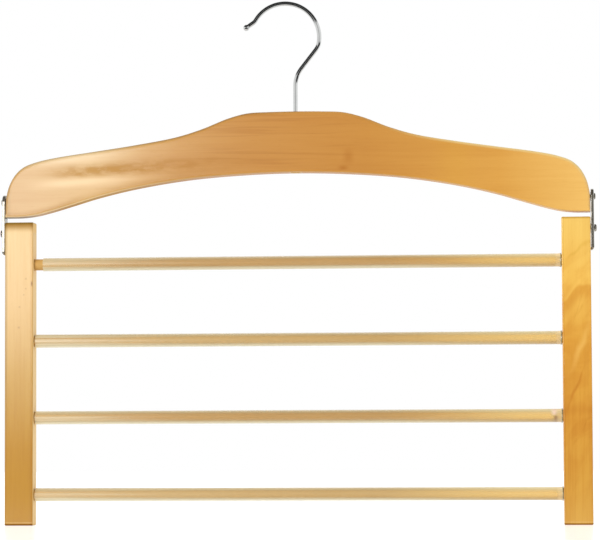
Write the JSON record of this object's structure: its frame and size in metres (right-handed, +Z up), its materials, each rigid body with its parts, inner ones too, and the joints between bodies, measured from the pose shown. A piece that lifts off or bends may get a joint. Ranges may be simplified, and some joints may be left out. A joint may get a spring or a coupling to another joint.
{
  "type": "multi tier trouser hanger",
  "caption": "Wooden hanger with a swivelling wire hook and a hinged ladder of sleeved trouser bars below its arm.",
  "frame": {"origin": "the seat of the hook, the highest point inside its loop, where a rail carries the hanger", "axes": "+X along the arm, +Y through its thickness from front to back, +Z up; the hook opens towards -X"},
  "size_m": [0.4498, 0.015, 0.3942],
  "materials": {
    "arm_wood": "clear satin lacquer over pale hardwood, grain along the arm",
    "post_wood": "clear satin lacquer over pale hardwood, grain along the post",
    "bar_wood": "plain sanded hardwood dowel",
    "clear_sleeve": "clear soft plastic with fine ribs along it",
    "chrome": "bright chrome plate on steel wire",
    "nickel": "nickel plated stamped steel"
  },
  "bodies": {
    "hook": {"hook_wire": "chrome", "hook_lock_nut": "nickel"},
    "arm": {"hanger_arm": "arm_wood", "hook_washer": "nickel", "left_pivot_pin": "nickel", "right_pivot_pin": "nickel"},
    "ladder": {"left_strap": "nickel", "right_strap": "nickel", "left_strap_screw": "nickel", "right_strap_screw": "nickel", "left_post": "post_wood", "right_post": "post_wood", "bar_1": "bar_wood", "bar_2": "bar_wood", "bar_3": "bar_wood", "bar_4": "bar_wood", "bar_sleeve_1": "clear_sleeve", "bar_sleeve_2": "clear_sleeve", "bar_sleeve_3": "clear_sleeve", "bar_sleeve_4": "clear_sleeve"}
  },
  "joints": [
    {"name": "hook_swivel", "type": "hinge", "parent": "hook", "child": "arm", "pos_m": [0.00783, 0, -0.08081], "axis": [0, 0, 1], "continuous": true},
    {"name": "ladder_swing", "type": "hinge", "parent": "arm", "child": "ladder", "pos_m": [0.00783, 0, -0.14691], "axis": [1, 0, 0], "range_deg": [-120, 120]}
  ]
}
